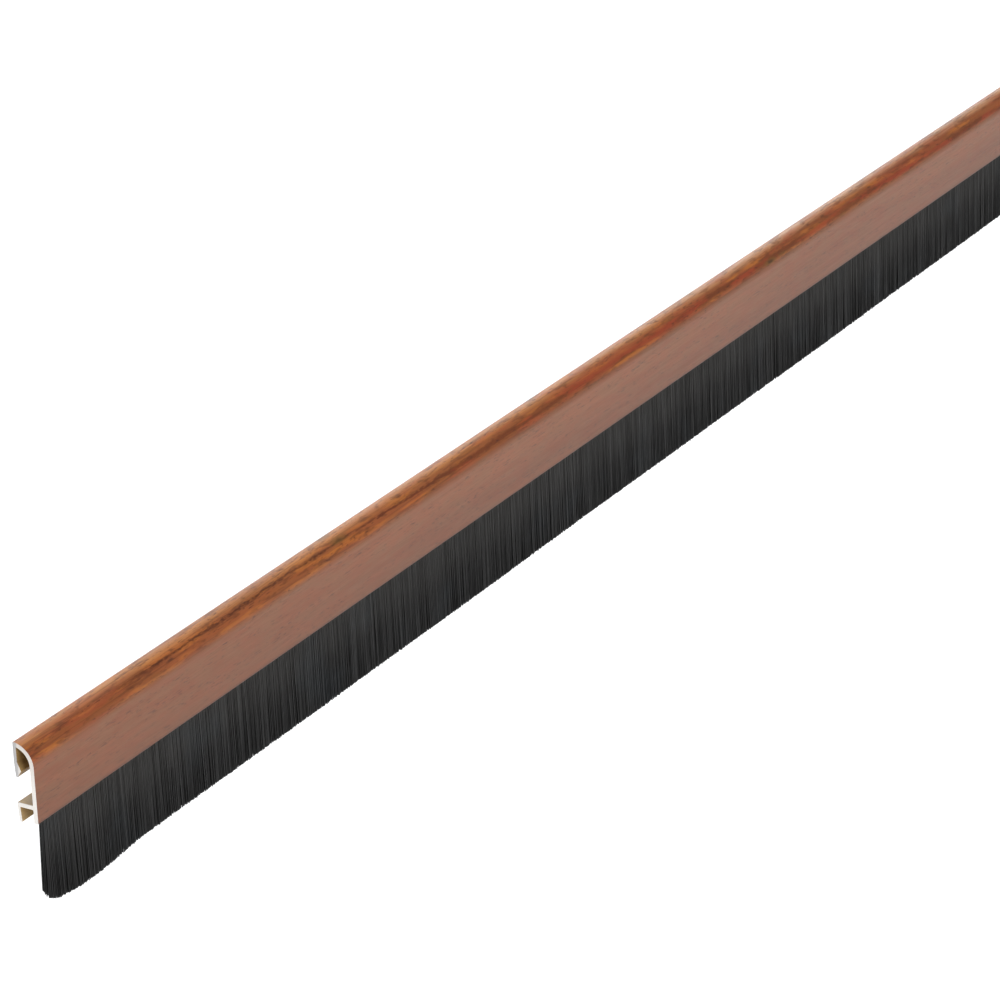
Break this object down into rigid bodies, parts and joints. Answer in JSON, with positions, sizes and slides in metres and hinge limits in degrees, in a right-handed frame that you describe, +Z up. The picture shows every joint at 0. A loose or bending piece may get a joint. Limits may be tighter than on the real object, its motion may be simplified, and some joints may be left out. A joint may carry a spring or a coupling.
{
  "type": "door sweep",
  "caption": "Clip-on strip for the foot of a door: a thin rolled cover over a screwed base rail, with a brush insert that slides in a channel under it.",
  "frame": {"origin": "on the door's face (the back of the adhesive tape), at mid length and at the height of the screw line", "axes": "+X along the strip, +Y into the door, +Z up"},
  "size_m": [1, 0.0188, 0.0465],
  "materials": {
    "wood_coat": "satin wood-grain coat over bare metal, cut ends uncoated",
    "rail_plastic": "extruded, dull",
    "foam_tape": "closed-cell foam, tacky",
    "zinc_steel": "bright zinc",
    "strip_steel": "galvanised, rolled",
    "bristles": "straight extruded filaments, low sheen"
  },
  "bodies": {
    "base": {"base_rail": "rail_plastic", "adhesive_tape": "foam_tape", "screw_1": "zinc_steel", "screw_2": "zinc_steel", "screw_3": "zinc_steel", "screw_4": "zinc_steel", "screw_5": "zinc_steel"},
    "cover": {"cover": "wood_coat"},
    "brush_insert": {"brush_channel": "strip_steel", "core_wire": "strip_steel", "filament_roots": "bristles"},
    "bristles": {"bristle_skirt": "bristles"}
  },
  "joints": [
    {"name": "cover_slide", "type": "slide", "parent": "base", "child": "cover", "axis": [1, 0, 0], "range_m": [-0.012, 0.988]},
    {"name": "brush_slide", "type": "slide", "parent": "cover", "child": "brush_insert", "axis": [1, 0, 0], "range_m": [-0.9896, 0.0052]},
    {"name": "bristle_flex", "type": "hinge", "parent": "brush_insert", "child": "bristles", "pos_m": [0, -0.00309, -0.00975], "axis": [1, 0, 0], "range_deg": [-40, 40], "stiffness_Nm_per_rad": 0.6}
  ]
}
